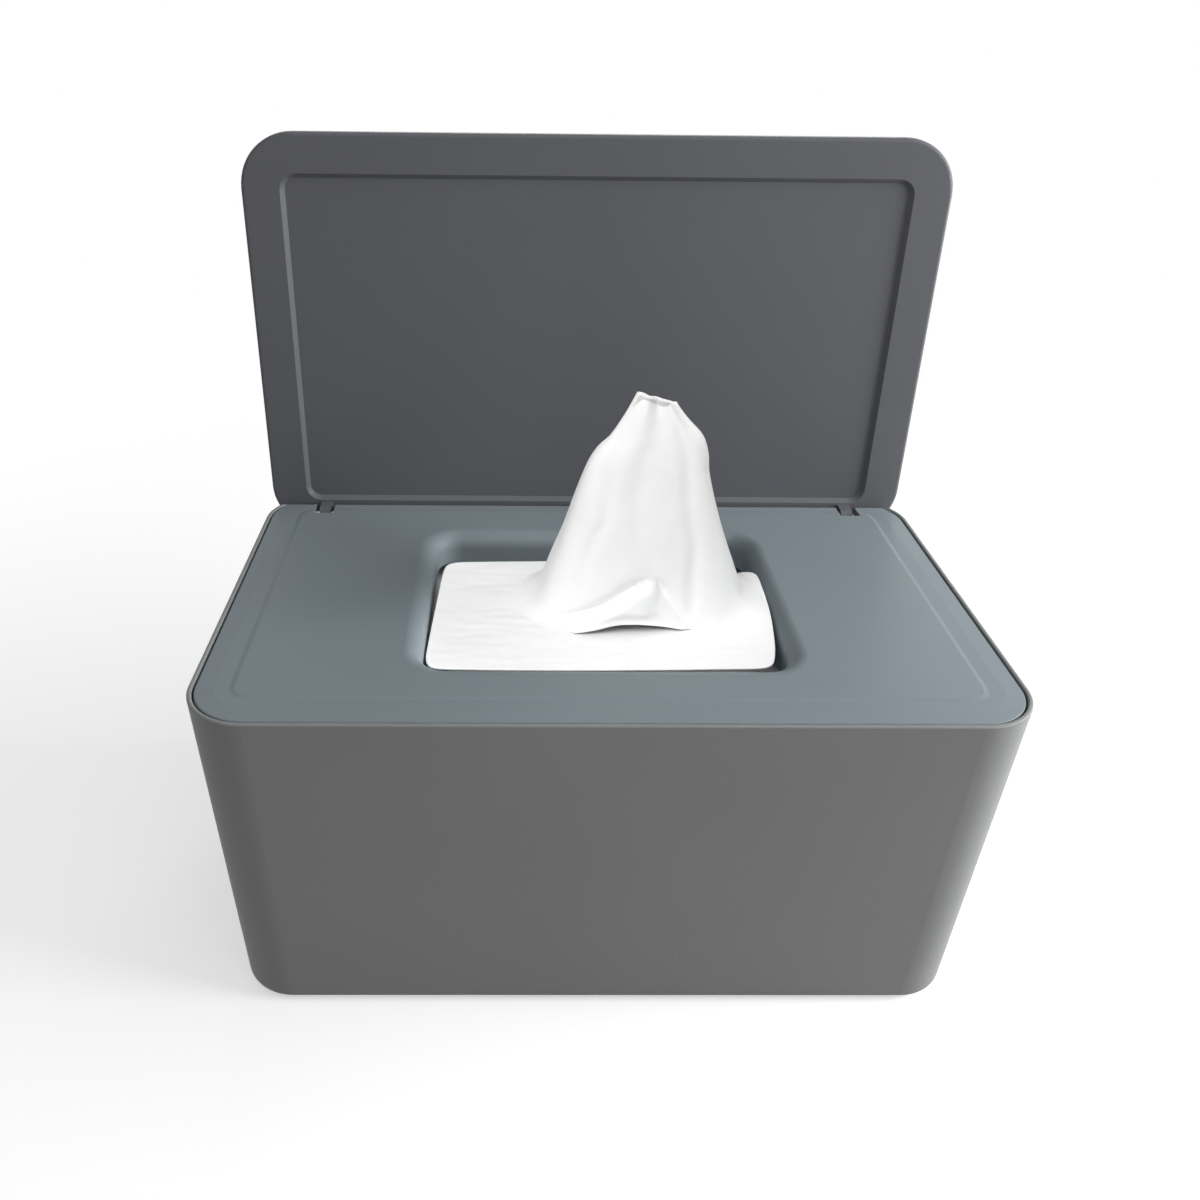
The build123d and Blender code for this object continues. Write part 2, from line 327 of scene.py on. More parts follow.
def felted_cloth(name, settings):
    """Moist nonwoven cloth: felted fibres over soft clumps."""
    material, shader = new_material(name)
    stretched = shader.node("ShaderNodeMapping", None, {"Vector": shader.place(), "Scale": FIBRE_STRETCH})
    fibres = shader.noise(settings.fibre_size, detail=4.0, place=stretched)
    clumps = shader.noise(settings.fibre_size * CLUMP_WIDTH, detail=2.0)
    felt = shader.bump(fibres, settings.fibre_depth, FELT_STRENGTH)
    shader.surface({
        "Base Color": shader.mix(fibres * 0.5 + clumps * 0.5, *shades(settings.cloth_colour, CLOTH_SHADES)),
        "Roughness": settings.roughness - ROUGHNESS_SPREAD / 2 + clumps * ROUGHNESS_SPREAD,
        "Specular IOR Level": CLOTH_SHINE,
        "Subsurface Weight": CLOTH_GLOW,
        "Subsurface Radius": CLOTH_GLOW_REACH,
        "Subsurface Scale": 1.0,
        "Normal": shader.bump(clumps, settings.fibre_depth * CLUMP_DEPTH, CLUMP_STRENGTH, felt),
    })
    return material


# Mesh code

def dress(node, material):
    """Give a CAD node its finish."""
    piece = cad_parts[node]
    piece.data.materials.clear()
    piece.data.materials.append(material)
    return piece


def new_piece(name, points, faces, material):
    """A smooth mesh object."""
    mesh = bpy.data.meshes.new(name)
    mesh.from_pydata(points, [], faces)
    mesh.validate()
    mesh.shade_smooth()
    mesh.materials.append(material)
    piece = bpy.data.objects.new(name, mesh)
    bpy.context.scene.collection.objects.link(piece)
    return piece


def ring_faces(rings, count):
    """Quads between rings of points that are stored one after another."""
    faces = []
    for ring in range(rings - 1):
        for step in range(count):
            after = (step + 1) % count
            faces.append((ring * count + step, ring * count + after,
                          (ring + 1) * count + after, (ring + 1) * count + step))
    return faces


def apply_modifiers(piece):
    """Turn what the modifiers make into the piece's own mesh."""
    bpy.context.view_layer.update()
    evaluated = piece.evaluated_get(bpy.context.evaluated_depsgraph_get())
    mesh = bpy.data.meshes.new_from_object(evaluated)
    piece.modifiers.clear()
    piece.data = mesh
    mesh.shade_smooth()


def smooth(value):
    """A smooth step from 0 to 1."""
    value = min(1.0, max(0.0, value))
    return value * value * (3 - 2 * value)


def through(points, at):
    """A smooth curve's value through (place, value) points, level at its two ends."""
    if at <= points[0][0]:
        return points[0][1]
    for k in range(len(points) - 1):
        (x0, y0), (x1, y1) = points[k], points[k + 1]
        if at <= x1:
            before = points[max(k - 1, 0)]
            after = points[min(k + 2, len(points) - 1)]
            slope0 = (y1 - before[1]) / (x1 - before[0])
            slope1 = (after[1] - y0) / (after[0] - x0)
            width, t = x1 - x0, (at - x0) / (x1 - x0)
            return ((1 + 2 * t) * (1 - t) ** 2 * y0 + t * (1 - t) ** 2 * width * slope0
                    + t * t * (3 - 2 * t) * y1 + t * t * (t - 1) * width * slope1)
    return points[-1][1]


def bell(distance, width):
    """A soft bump of height 1."""
    return math.exp(-(distance / width) ** 2)


def soft_noise(x, y, z, width):
    """Signed noise with patches of this width, for points in millimetres."""
    return noise.noise(Vector((x / width, y / width, z / width)))


# The wipe that is drawn up, in millimetres from the CAD frame

SHEET_LOW, SHEET_HIGH = (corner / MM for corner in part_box("raised_wipe"))
FLAT_Z = SHEET_LOW.z + 0.55
TENT_MIDDLE = (11.0, 2.0)

# Points round the cloth, and rings of them in the tent, the flat cloth and the strip under the opening
TURNS = 400
TENT_RINGS = 130
FLAT_RINGS = 40
UNDER_RINGS = 5
RING_GROWTH = 1.15

# Sides of the flat cloth, each as places along the side and the side's own place there
SHEET_LEFT = ((-31, -42.7), (-25, -43.0), (16, -41.3), (23, -40.6))
SHEET_RIGHT = ((-31, 40.2), (-20, 42.5), (-2, 43.9), (12, 44.2))
SHEET_FRONT = ((-43, -31.2), (0, -31.4), (36, -30.4), (43, -29.8))
SHEET_REAR = ((-43, 21.8), (10, 22.2), (24, 17.6), (33, 14.0), (44, 13.2))
SIDE_ROUNDNESS, END_ROUNDNESS = 26, 18
LEAST_BORDER = 0.4

# Shallow wrinkles of the flat cloth: strength, width, squeeze from front to rear, and place in the noise.
# They calm down towards the cloth's edge.
WRINKLES = ((1.0, 16, 1.6, 3.0), (0.45, 6, 2.6, 8.0))
EDGE_WRINKLE, EDGE_WIDTH = 0.3, 6

# The right end of the flat cloth lies on the mouth's lip: its rise, then where the rise starts and over
# how far it grows, to the right and to the rear
END_RISE = 2.2
END_FROM, END_OVER = 31, 12
END_FRONT, END_DEPTH = -27, 22

# Outline of the tent: height share above the flat cloth, then the side's place
TENT_LEFT = ((0, -20.0), (0.012, -18.2), (0.04, -16.2), (0.09, -14.5), (0.18, -12.8), (0.33, -10.0),
             (0.54, -6.4), (0.68, -3.7), (0.75, -1.4), (0.80, 1.3), (0.90, 4.6), (1, 7.4))
TENT_RIGHT = ((0, 43.0), (0.012, 40.6), (0.035, 38.8), (0.07, 37.5), (0.26, 33.4), (0.47, 28.9), (0.65, 25.9),
              (0.74, 25.2), (0.81, 23.8), (0.88, 21.0), (0.95, 18.4), (1, 16.6))
TENT_FRONT = ((0, -14.6), (0.03, -13.9), (0.10, -12.6), (0.2, -11.0), (0.4, -8.4), (0.6, -6.0),
              (0.8, -3.4), (1, -0.6))
TENT_REAR = ((0, 18.6), (0.02, 17.2), (0.07, 15.4), (0.2, 12.6), (0.4, 9.4), (0.6, 6.6), (0.8, 3.8), (1, 0.8))

# Creases: depth and width, then the crease's place across at each height
FRONT_CREASES = (
    (0.42, 1.8, ((97, -6.0), (109.8, -1.9), (113.1, 0.2), (120.8, 1.2), (134.2, 3.0), (145, 8.0))),
    (0.72, 2.0, ((86.8, 22.9), (97.5, 22.6), (107.7, 22.8), (114.6, 21.2), (126.3, 20.2), (136.8, 18.4),
                 (145, 15.0))),
    (0.32, 2.4, ((98, 13.5), (104, 11.0), (113, 8.4), (124, 8.6), (145, 10.4))),
    (-0.3, 2.4, ((90, 31.0), (110, 27.0), (126, 24.2), (145, 16.4))),
)
REAR_CREASES = (
    (1.9, 2.6, ((86.8, -6.0), (110, -1.0), (130, 3.8), (145, 8.4))),
    (-1.2, 2.8, ((86.8, 2.0), (110, 4.6), (145, 9.6))),
    (2.2, 2.8, ((86.8, 11.5), (110, 11.0), (145, 11.6))),
    (1.6, 2.4, ((86.8, 24.0), (110, 20.0), (130, 18.0), (145, 14.4))),
    (-0.9, 2.6, ((86.8, 31.0), (110, 25.0), (145, 15.8))),
)

# Shares of the tent's height over which the creases grow. They fade out on the tent's left and right, where
# the sine of the turn is below FACING_SHARE.
FRONT_START, REAR_START = 0.12, 0.15
FACING_SHARE = 0.5

# The tent's section: squarer at the foot than at the top, and skewed at its rear
SQUARENESS, SQUARENESS_LOSS = 3.3, 0.9
REAR_SKEW = 0.10

# Pleats of the pinched top: depth, waves and start of each, and the share of the height where they grow
PLEATS = ((0.6, 4.6, 0.6), (0.25, 9.5, 2.0))
PLEATS_FROM, PLEATS_OVER = 0.55, 0.45

# Drop of the top's right-hand corner
TIP_DROP = 2.2
TIP_FROM, TIP_OVER = 0.8, 0.2

# Fine unevenness of the hanging cloth
RIPPLE = 0.22
RIPPLE_WIDTHS = (11, 9, 3.5)
FINE_RIPPLE = 0.35

# The three-cornered fold above the opening: its left and right valleys at each height
FOLD_TOP = 100.3
FOLD_LEFT = ((86.6, -12.0), (88.0, -9.9), (91.9, -0.2), (94.8, 4.8), (100.3, 12.9))
FOLD_RIGHT = ((86.8, 22.9), (93.1, 17.8), (100.3, 12.9))
FOLD_FADE = 5
FOLD_DEPTH, FOLD_EDGE = 2.9, 0.16
LEFT_VALLEY, LEFT_WIDTH = 1.5, 4.5
RIGHT_VALLEY, RIGHT_WIDTH = 1.2, 1.8
VALLEY_END = 0.2

# The opening at the tent's foot: its ends, its arch from end to end, and how far its edge is set back
OPENING_LEFT, OPENING_RIGHT = -9.0, 24.6
OPENING_ARCH = ((0, 0), (0.22, 0.55), (0.42, 1.0), (0.62, 0.82), (0.85, 0.25), (1, 0))
OPENING_SET_BACK = 2.2
UNDER_STEP, UNDER_DROP = 2.0, 0.12
FOOT_SHARE = 0.12


def sheet_reach(turn):
    """Distance from the tent's middle to the edge of the flat cloth."""
    cos, sin = math.cos(turn), math.sin(turn)

    def outside(reach):
        x, y = TENT_MIDDLE[0] + reach * cos, TENT_MIDDLE[1] + reach * sin
        left, right = through(SHEET_LEFT, y), through(SHEET_RIGHT, y)
        front, rear = through(SHEET_FRONT, x), through(SHEET_REAR, x)
        across = (2 * x - left - right) / (right - left)
        deep = (2 * y - front - rear) / (rear - front)
        return abs(across) ** SIDE_ROUNDNESS + abs(deep) ** END_ROUNDNESS > 1

    low, high = 5.0, 90.0
    for _ in range(30):
        middle = (low + high) / 2
        if outside(middle):
            high = middle
        else:
            low = middle
    return low


def creased(creases, x, z):
    """How far the creases push the cloth inwards."""
    return sum(depth * bell(x - through(route, z), width) for depth, width, route in creases)


def folded(x, z):
    """How far the three-cornered fold above the opening stands out, less its valleys."""
    if z > FOLD_TOP + 1:
        return 0.0
    left, right = through(FOLD_LEFT, z), through(FOLD_RIGHT, z)
    rise = smooth((FOLD_TOP + 1 - z) / FOLD_FADE)
    part = (x - left) / max(right - left, 1.0)
    out = FOLD_DEPTH * smooth(part / FOLD_EDGE) * (1 - smooth((part - 0.5) / 0.5))
    left_valley = LEFT_VALLEY * bell(min(0.0, x - left), LEFT_WIDTH) * (1 - smooth(part / VALLEY_END))
    right_valley = RIGHT_VALLEY * bell(x - right, RIGHT_WIDTH)
    return (out - (left_valley + right_valley)) * rise


def tent_point(turn, height, peak_height):
    """A point of the tent at a turn about its middle and a share of its height."""
    cos, sin = math.cos(turn), math.sin(turn)
    left, right = through(TENT_LEFT, height), through(TENT_RIGHT, height)
    front, rear = through(TENT_FRONT, height), through(TENT_REAR, height)
    power = 2 / (SQUARENESS - SQUARENESS_LOSS * height)
    half = (right - left) / 2
    middle_y = TENT_MIDDLE[1] * (1 - height)
    across = math.copysign(abs(cos) ** power, cos)
    deep = abs(sin) ** power
    x = (left + right) / 2 + half * across
    z = FLAT_Z + peak_height * height
    facing = smooth(abs(sin) / FACING_SHARE)
    if sin < 0:
        y = middle_y + (front - middle_y) * deep
        y += (creased(FRONT_CREASES, x, z) * smooth(height / FRONT_START) - folded(x, z)) * facing
    else:
        y = middle_y + (rear - middle_y) * deep - REAR_SKEW * (x - TENT_MIDDLE[0]) * deep * (1 - height)
        y -= creased(REAR_CREASES, x, z) * facing * smooth(height / REAR_START)
    pleated = sum(depth * math.sin(waves * across + start) for depth, waves, start in PLEATS)
    y += smooth((height - PLEATS_FROM) / PLEATS_OVER) * pleated
    z -= TIP_DROP * smooth((height - TIP_FROM) / TIP_OVER) * smooth(0.5 + across / 2)
    ripple = RIPPLE * smooth(height / REAR_START)
    across_width, deep_width, fine_width = RIPPLE_WIDTHS
    x += ripple * soft_noise(x, y, z, across_width)
    y += ripple * (soft_noise(y, z, x, deep_width) + FINE_RIPPLE * soft_noise(x, z, y, fine_width))
    return x, y, z


def opening_lift(x):
    """How far the foot of the tent is raised over the opening, from 0 to 1."""
    part = (x - OPENING_LEFT) / (OPENING_RIGHT - OPENING_LEFT)
    if not 0 < part < 1:
        return 0.0
    return through(OPENING_ARCH, part)


def flat_height(x, y, wrinkle):
    """Height of the flat cloth, with its shallow wrinkles and its raised right end."""
    soft = sum(strength * soft_noise(x, y * squeeze, place, width)
               for strength, width, squeeze, place in WRINKLES)
    raised = END_RISE * smooth((x - END_FROM) / END_OVER) * smooth((y - END_FRONT) / END_DEPTH)
    return FLAT_Z + wrinkle * soft + raised


def raised_wipe_mesh(settings):
    """Points and faces of the cloth: the flat part, then the tent, joined but for the opening at its foot."""
    peak_height = settings.peak_height / MM
    opening = settings.opening_height / MM
    wrinkle = settings.wrinkle / MM
    turns = [2 * math.pi * step / TURNS for step in range(TURNS)]
    feet = [tent_point(turn, 0, peak_height) for turn in turns]
    points = []
    for ring in range(FLAT_RINGS):
        part = ring / (FLAT_RINGS - 1)
        for foot_x, foot_y, foot_z in feet:
            off_x, off_y = foot_x - TENT_MIDDLE[0], foot_y - TENT_MIDDLE[1]
            inner = math.hypot(off_x, off_y)
            outer = max(sheet_reach(math.atan2(off_y, off_x)), inner + LEAST_BORDER)
            reach = (outer + (inner - outer) * part) / inner
            x, y = TENT_MIDDLE[0] + off_x * reach, TENT_MIDDLE[1] + off_y * reach
            from_edge = (outer - inner) * part
            calmed = wrinkle * smooth(EDGE_WRINKLE + from_edge / EDGE_WIDTH)
            points.append((x, y, flat_height(x, y, calmed)))
    faces = ring_faces(FLAT_RINGS, TURNS)
    foot = list(range((FLAT_RINGS - 1) * TURNS, FLAT_RINGS * TURNS))
    upper = []
    for step, turn in enumerate(turns):
        x, y, z = points[foot[step]]
        lift = opening_lift(x) if math.sin(turn) < 0 else 0.0
        if lift > 0:
            points.append((x, y + OPENING_SET_BACK * lift, z + opening * lift))
            upper.append(len(points) - 1)
        else:
            upper.append(foot[step])
    bases = [points[k] for k in upper]
    edge = [flat for flat, lifted in zip(foot, upper) if flat != lifted]
    for _ in range(UNDER_RINGS):
        inner = range(len(points), len(points) + len(edge))
        points += [(x, y + UNDER_STEP, z - UNDER_DROP) for x, y, z in (points[k] for k in edge)]
        faces += [(edge[k], edge[k + 1], inner[k + 1], inner[k]) for k in range(len(edge) - 1)]
        edge = inner
    below = upper
    for ring in range(1, TENT_RINGS + 1):
        height = (ring / TENT_RINGS) ** RING_GROWTH
        hold = 1 - smooth(height / FOOT_SHARE)
        current = []
        for step, turn in enumerate(turns):
            shifted = (now + (base - start) * hold for now, base, start in
                       zip(tent_point(turn, height, peak_height), bases[step], feet[step]))
            current.append(len(points))
            points.append(tuple(shifted))
        for step in range(TURNS):
            after = (step + 1) % TURNS
            faces.append((below[step], below[after], current[after], current[step]))
        below = current
    return [tuple(value * MM for value in point) for point in points], faces


# The folded stack

STACK_LOW, STACK_HIGH = (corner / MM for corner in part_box("wipe_stack"))
STACK_TURNS = 240
TOP_RINGS = 70

# The soft top: its shoulder and the drop at its edge, then the mound that swells into the mouth
SHOULDER_Z = STACK_HIGH.z - 8.6
EDGE_DROP, EDGE_DROP_WIDTH = 3.0, 7.0
SIDE_TOP = SHOULDER_Z - EDGE_DROP
MOUND_HALF_X, MOUND_HALF_Y = 35.5, 20.5
MOUND, MOUND_FLANK = 4.7, 5.0
APRON, APRON_WIDTH, APRON_POWER = 2.8, 9.0, 1.5
SOFTNESS, SOFT_WIDTH, SOFT_SQUEEZE, SOFT_PLACE, SOFT_EDGE = 0.5, 24, 1.5, 5.0, 10

# One folded layer: share of its height and how far its side is drawn in there
LAYER_PROFILE = ((0.0, 0.9), (0.12, 0.45), (0.32, 0.3), (0.68, 0.3), (0.88, 0.45))
LAYER_SHIFT, LAYER_CHANGE = 0.28, 1.7
SIDE_WAVE, WAVES_ROUND, WAVE_HEIGHT = 0.25, 3, 1.3
LEAST_INSET = 0.3
BASE_INSETS = (30.0, 10.0, 3.0)
TOP_INSET = 0.7
STACK_ROUNDNESS, MIDDLE_ROUNDNESS = 9, 3.0


def rounded_reach(turn, half_x, half_y, power):
    """Distance from the middle to a rounded rectangle's edge."""
    cos, sin = abs(math.cos(turn)), abs(math.sin(turn))
    return ((cos / half_x) ** power + (sin / half_y) ** power) ** (-1 / power)


def stack_top_height(x, y):
    """Height of the stack's top: a soft mound that swells into the mouth."""
    middle_y = (SHEET_LOW.y + SHEET_HIGH.y) / 2
    off_x = max(0.0, abs(x) - MOUND_HALF_X)
    off_y = max(0.0, abs(y - middle_y) - MOUND_HALF_Y)
    off = math.hypot(off_x, off_y)
    swell = MOUND * (1 - smooth(off / MOUND_FLANK)) + APRON * math.exp(-(off / APRON_WIDTH) ** APRON_POWER)
    from_edge = min(STACK_HIGH.x - abs(x), STACK_HIGH.y - abs(y))
    soft = SOFTNESS * soft_noise(x, y * SOFT_SQUEEZE, SOFT_PLACE, SOFT_WIDTH) * smooth(from_edge / SOFT_EDGE)
    drop = EDGE_DROP * (1 - smooth(from_edge / EDGE_DROP_WIDTH)) ** 2
    return SHOULDER_Z + swell + soft - drop


def stack_mesh(settings):
    """Points and faces of the folded stack, layer on layer, with a soft top."""
    half_x, half_y = STACK_HIGH.x, STACK_HIGH.y
    turns = [2 * math.pi * step / STACK_TURNS for step in range(STACK_TURNS)]
    pitch = (SIDE_TOP - STACK_LOW.z) / settings.layers
    rows = []
    for layer in range(settings.layers):
        shift_x = LAYER_SHIFT * soft_noise(layer, 0.3, 0.7, LAYER_CHANGE)
        shift_y = LAYER_SHIFT * soft_noise(layer, 5.3, 2.7, LAYER_CHANGE)
        for part, inset in LAYER_PROFILE:
            rows.append((STACK_LOW.z + pitch * (layer + part), inset, shift_x, shift_y))
    rows.append((SIDE_TOP, LAYER_PROFILE[0][1], 0.0, 0.0))
    points = []
    for inset in BASE_INSETS:
        for turn in turns:
            reach = rounded_reach(turn, half_x - inset, half_y - inset, STACK_ROUNDNESS)
            points.append((reach * math.cos(turn), reach * math.sin(turn), STACK_LOW.z))
    for z, inset, shift_x, shift_y in rows:
        for turn in turns:
            wave = SIDE_WAVE * soft_noise(math.cos(turn) * WAVES_ROUND, math.sin(turn) * WAVES_ROUND,
                                          z, WAVE_HEIGHT)
            drawn_in = inset + LEAST_INSET + wave
            reach = rounded_reach(turn, half_x - drawn_in, half_y - drawn_in, STACK_ROUNDNESS)
            points.append((reach * math.cos(turn) + shift_x, reach * math.sin(turn) + shift_y, z))
    for ring in range(TOP_RINGS):
        inwards = (ring + 0.5) / TOP_RINGS
        roundness = STACK_ROUNDNESS - (STACK_ROUNDNESS - MIDDLE_ROUNDNESS) * inwards
        for turn in turns:
            reach = rounded_reach(turn, half_x - TOP_INSET, half_y - TOP_INSET, roundness) * (1 - inwards)
            x, y = reach * math.cos(turn), reach * math.sin(turn)
            points.append((x, y, max(SIDE_TOP, stack_top_height(x, y))))
    rings = len(points) // STACK_TURNS
    faces = ring_faces(rings, STACK_TURNS)
    last = (rings - 1) * STACK_TURNS
    points.append((0.0, 0.0, stack_top_height(0, 0)))
    faces += [(last + step, last + (step + 1) % STACK_TURNS, len(points) - 1) for step in range(STACK_TURNS)]
    points.append((0.0, 0.0, STACK_LOW.z))
    faces += [((step + 1) % STACK_TURNS, step, len(points) - 1) for step in range(STACK_TURNS)]
    return [tuple(value * MM for value in point) for point in points], faces


# Operators, one for each piece or group of like pieces

class Making:
    """What every operator here shares."""

    bl_options = {"REGISTER", "UNDO"}


class DISPENSER_OT_finish_body(Making, bpy.types.Operator):
    """Give the body shell its matte plastic"""

    bl_idname = "dispenser.finish_body"
    bl_label = "Finish the body"

    def execute(self, context):
        plastic = context.scene.dispenser_plastic
        dress("body_shell", moulded_plastic("body_plastic_look", plastic.body_colour, plastic))
        return {"FINISHED"}


class DISPENSER_OT_finish_plate(Making, bpy.types.Operator):
    """Give the top plate its matte plastic"""

    bl_idname = "dispenser.finish_plate"
    bl_label = "Finish the top plate"

    def execute(self, context):
        plastic = context.scene.dispenser_plastic
        # The plate's colour holds a painted bluish tint of the light from above.
        dress("top_plate", moulded_plastic("plate_plastic_look", plastic.plate_colour_with_painted_tint, plastic))
        return {"FINISHED"}


class DISPENSER_OT_finish_lid(Making, bpy.types.Operator):
    """Give the lid its matte plastic"""

    bl_idname = "dispenser.finish_lid"
    bl_label = "Finish the lid"

    def execute(self, context):
        plastic = context.scene.dispenser_plastic
        # The lid's colour holds painted shade, so it is darker than the body's plastic.
        dress("lid", moulded_plastic("lid_plastic_look", plastic.lid_colour_with_painted_shade, plastic))
        return {"FINISHED"}


class DISPENSER_OT_finish_gasket(Making, bpy.types.Operator):
    """Give the gasket its soft silicone"""

    bl_idname = "dispenser.finish_gasket"
    bl_label = "Finish the gasket"

    def execute(self, context):
        plastic = context.scene.dispenser_plastic
        dress("plate_gasket", soft_rubber("gasket_rubber_look", plastic.gasket_colour, plastic))
        return {"FINISHED"}


class DISPENSER_OT_finish_feet(Making, bpy.types.Operator):
    """Give the four foot pads their dark rubber"""

    bl_idname = "dispenser.finish_feet"
    bl_label = "Finish the foot pads"

    def execute(self, context):
        plastic = context.scene.dispenser_plastic
        rubber = soft_rubber("foot_rubber_look", plastic.foot_colour, plastic)
        for end in ("front", "rear"):
            for side in ("left", "right"):
                dress(f"foot_pad_{end}_{side}", rubber)
        return {"FINISHED"}


class DISPENSER_OT_finish_pins(Making, bpy.types.Operator):
    """Give the two hinge pins their drawn steel"""

    bl_idname = "dispenser.finish_pins"
    bl_label = "Finish the hinge pins"

    def execute(self, context):
        plastic = context.scene.dispenser_plastic
        steel = drawn_steel("pin_steel_look", plastic.pin_colour, plastic)
        for side in ("left", "right"):
            dress(f"hinge_pin_{side}", steel)
        return {"FINISHED"}


class DISPENSER_OT_make_stack(Making, bpy.types.Operator):
    """Make the folded stack of wipes inside the body"""

    bl_idname = "dispenser.make_stack"
    bl_label = "Make the folded stack"

    def execute(self, context):
        wipes = context.scene.dispenser_wipes
        cloth = felted_cloth("stack_cloth_look", wipes)
        piece = new_piece("folded_stack", *stack_mesh(wipes), cloth)
        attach(piece, "box")
        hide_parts("wipe_stack")
        return {"FINISHED"}


class DISPENSER_OT_make_raised_wipe(Making, bpy.types.Operator):
    """Make the wipe that is drawn up through the mouth"""

    bl_idname = "dispenser.make_raised_wipe"
    bl_label = "Make the drawn-up wipe"

    def execute(self, context):
        wipes = context.scene.dispenser_wipes
        cloth = felted_cloth("raised_cloth_look", wipes)
        piece = new_piece("drawn_wipe", *raised_wipe_mesh(wipes), cloth)
        body = piece.modifiers.new("thickness", "SOLIDIFY")
        body.thickness = wipes.thickness
        body.offset = 0
        apply_modifiers(piece)
        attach(piece, "box")
        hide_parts("raised_wipe")
        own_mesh(piece)
        return {"FINISHED"}


# The stage. Each lamp but the key lamp: its name, place, width, power setting and how it treats the wipes

LAMP_AIM = (0, 0, 0.09)
LAMPS = (
    ("back_lamp", (0.12, 0.85, 0.42), 0.6, "back_power", None),
    ("top_lamp", (0.06, -0.40, 0.78), 0.9, "fill_power", None),
    ("wipe_lamp", (-0.26, -0.42, 0.60), 0.35, "wipe_power", "INCLUDE"),
    ("wipe_side_lamp", (0.56, 0.16, 0.26), 0.4, "wipe_side_power", "INCLUDE"),
)
WHITE = (1, 1, 1, 1)
PALE_FLOOR, FLOOR_LIFT = (0.6, 0.6, 0.6, 1), 0.5
FADE_START, FADE_END = 0.16, 0.42
FLOOR_SIDES = 96
SENSOR_WIDTH = 36
NEAREST_SEEN = 0.01


class DISPENSER_OT_make_stage(Making, bpy.types.Operator):
    """Set the floor, the lamps and the camera"""

    bl_idname = "dispenser.make_stage"
    bl_label = "Set the stage"

    def execute(self, context):
        stage = context.scene.dispenser_stage
        make_floor(stage)
        make_sky(stage)
        lights_wipes(add_lamp("key_lamp", stage.key_place, stage.key_size, stage.key_power), "EXCLUDE")
        for name, place, width, power, wipes in LAMPS:
            lamp = add_lamp(name, place, width, getattr(stage, power))
            if wipes:
                lights_wipes(lamp, wipes)
        make_camera(stage)
        context.scene.view_settings.view_transform = "Standard"
        return {"FINISHED"}


def seen_directly(shader):
    """1 for rays that show the background, 0 for rays that light the object."""
    kinds = [shader.node("ShaderNodeLightPath", output=f"Is {kind} Ray")
             for kind in ("Camera", "Glossy", "Transmission")]
    return kinds[0].or_more(kinds[1]).or_more(kinds[2])


def make_floor(stage):
    """A round pale floor that keeps the object's shadow and fades to white."""
    turns = [2 * math.pi * step / FLOOR_SIDES for step in range(FLOOR_SIDES)]
    points = [(stage.floor_radius * math.cos(turn), stage.floor_radius * math.sin(turn), 0.0)
              for turn in turns]
    material, shader = new_material("floor_look")
    from_middle = shader.node("ShaderNodeVectorMath", {"operation": "LENGTH"}, {0: shader.place()}, "Value")
    shown = seen_directly(shader)
    paint = shader.node("ShaderNodeBsdfDiffuse", None, {"Color": with_alpha(stage.floor_colour)})
    pale = shader.node("ShaderNodeBsdfDiffuse", None, {"Color": PALE_FLOOR})
    lift = shader.node("ShaderNodeEmission", None, {"Color": WHITE, "Strength": FLOOR_LIFT})
    white = shader.node("ShaderNodeEmission", None, {"Color": WHITE, "Strength": 1.0})
    near = shader.node("ShaderNodeAddShader", None, {0: pale, 1: lift})
    faded = from_middle.between(FADE_START, FADE_END)
    seen = shader.node("ShaderNodeMixShader", None, {0: faded, 1: near, 2: white})
    both = shader.node("ShaderNodeMixShader", None, {0: shown, 1: paint, 2: seen})
    shader.node("ShaderNodeOutputMaterial", None, {"Surface": both})
    floor = new_piece("floor", points, [tuple(range(FLOOR_SIDES))], material)


def make_sky(stage):
    """Even light from all round, and white where it is seen."""
    world = bpy.data.worlds.new("studio")
    bpy.context.scene.world = world
    world.use_nodes = True
    shader = Shader(world.node_tree)
    level = seen_directly(shader) * (1 - stage.sky) + stage.sky
    even = shader.node("ShaderNodeBackground", None, {"Color": WHITE, "Strength": level})
    shader.node("ShaderNodeOutputWorld", None, {"Surface": even})


def add_lamp(name, place, size, power):
    """A square soft lamp that points at the object."""
    place, aim = Vector(place), Vector(LAMP_AIM)
    data = bpy.data.lights.new(name, "AREA")
    data.size = size
    data.energy = power
    lamp = bpy.data.objects.new(name, data)
    lamp.location = place
    lamp.rotation_euler = (aim - place).to_track_quat("-Z", "Y").to_euler()
    bpy.context.scene.collection.objects.link(lamp)
    return lamp


def lights_wipes(lamp, state):
    """INCLUDE makes a lamp light the wipes alone, and EXCLUDE all but them."""
    group = bpy.data.collections.new(lamp.name + "_wipes")
    for name in ("drawn_wipe", "folded_stack"):
        group.objects.link(bpy.data.objects[name])
    lamp.light_linking.receiver_collection = group
    for member in group.collection_objects:
        member.light_linking.link_state = state


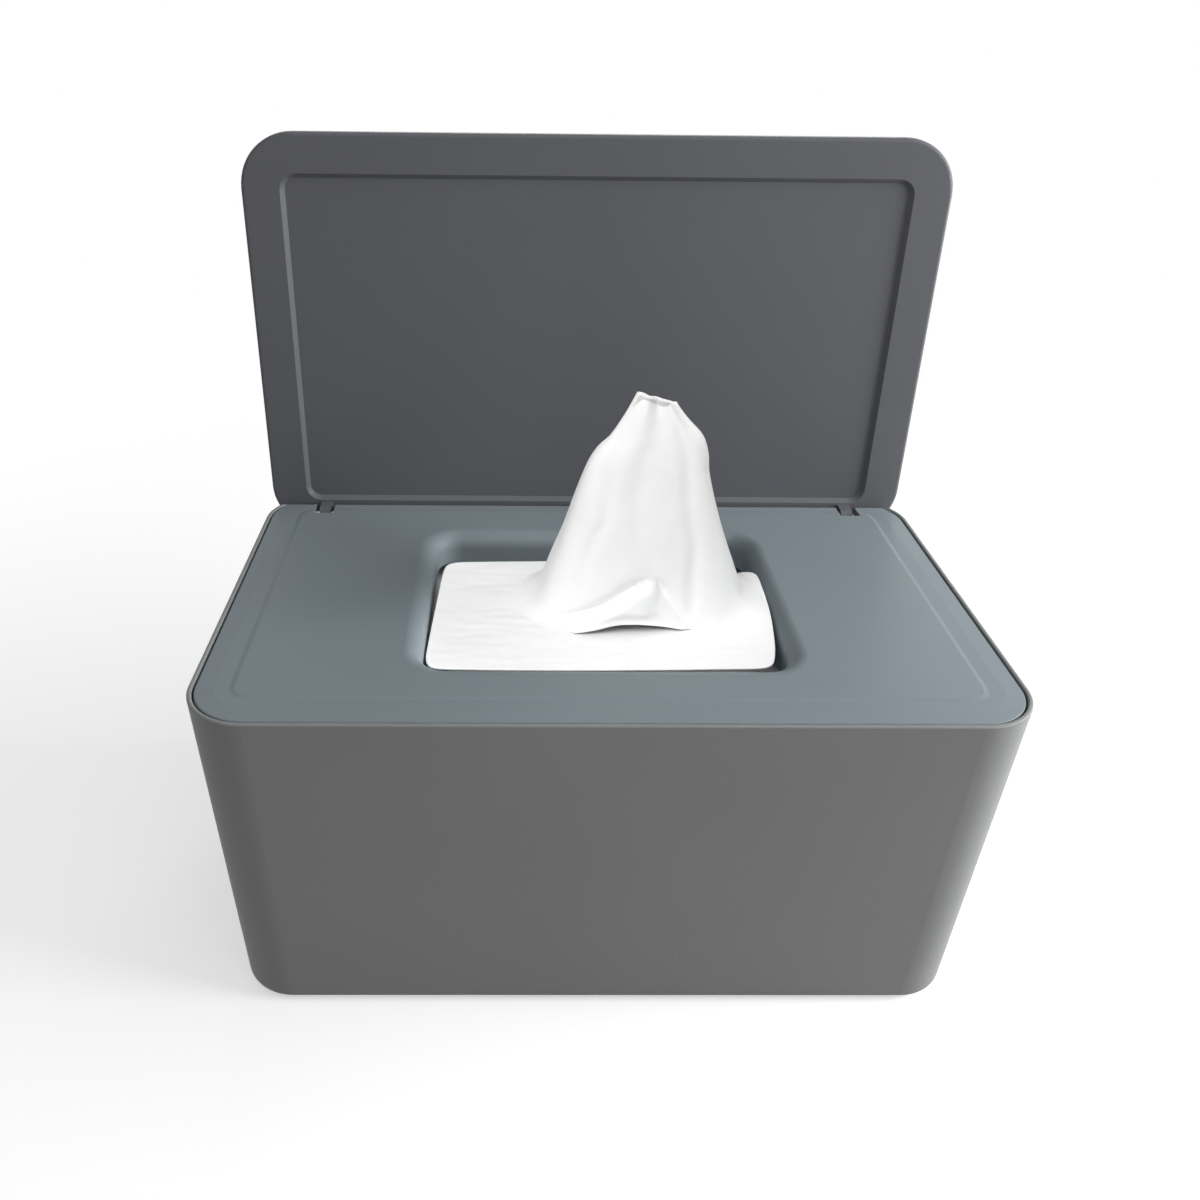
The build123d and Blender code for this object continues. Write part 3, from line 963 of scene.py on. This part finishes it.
def make_camera(stage):
    """The camera, turned by its yaw, pitch and roll."""
    ahead = Vector((math.sin(stage.yaw) * math.cos(stage.pitch),
                    math.cos(stage.yaw) * math.cos(stage.pitch), -math.sin(stage.pitch)))
    level = Vector((math.cos(stage.yaw), -math.sin(stage.yaw), 0))
    upright = level.cross(ahead)
    right = math.cos(stage.roll) * level + math.sin(stage.roll) * upright
    up = math.cos(stage.roll) * upright - math.sin(stage.roll) * level
    data = bpy.data.cameras.new("camera")
    data.sensor_width = SENSOR_WIDTH
    data.lens = stage.lens
    data.shift_x, data.shift_y = stage.shift
    data.clip_start = NEAREST_SEEN
    camera = bpy.data.objects.new("camera", data)
    turned = Matrix((right, up, -ahead)).transposed().to_4x4()
    camera.matrix_world = Matrix.Translation(stage.camera_place) @ turned
    bpy.context.scene.collection.objects.link(camera)
    bpy.context.scene.camera = camera


class DISPENSER_PT_panel(bpy.types.Panel):
    """Settings and steps of the dispenser's looks"""

    bl_idname = "DISPENSER_PT_panel"
    bl_label = "Wipes dispenser"
    bl_space_type = "VIEW_3D"
    bl_region_type = "UI"
    bl_category = "Dispenser"

    def draw(self, context):
        for title, settings in (("Plastic", context.scene.dispenser_plastic),
                                ("Wipes", context.scene.dispenser_wipes),
                                ("Stage", context.scene.dispenser_stage)):
            box = self.layout.box()
            box.label(text=title)
            for name in settings.__annotations__:
                box.prop(settings, name)
        for operator in OPERATORS:
            self.layout.operator(operator.bl_idname)


OPERATORS = (
    DISPENSER_OT_finish_body,
    DISPENSER_OT_finish_plate,
    DISPENSER_OT_finish_lid,
    DISPENSER_OT_finish_gasket,
    DISPENSER_OT_finish_feet,
    DISPENSER_OT_finish_pins,
    DISPENSER_OT_make_stack,
    DISPENSER_OT_make_raised_wipe,
    DISPENSER_OT_make_stage,
)
SETTINGS = {
    "dispenser_plastic": PlasticSettings,
    "dispenser_wipes": WipeSettings,
    "dispenser_stage": StageSettings,
}


def register():
    """Register the classes and hang the settings on the scene."""
    for group in (*SETTINGS.values(), *OPERATORS, DISPENSER_PT_panel):
        bpy.utils.register_class(group)
    for name, group in SETTINGS.items():
        setattr(bpy.types.Scene, name, PointerProperty(type=group))


def unregister():
    """Take the settings off the scene and unregister the classes."""
    for name in SETTINGS:
        delattr(bpy.types.Scene, name)
    for group in (DISPENSER_PT_panel, *reversed(OPERATORS), *SETTINGS.values()):
        bpy.utils.unregister_class(group)


def main():
    """Make every piece in order."""
    register()
    for operator in OPERATORS:
        family, step = operator.bl_idname.split(".")
        getattr(getattr(bpy.ops, family), step)()


if __name__ == "__main__":
    main()
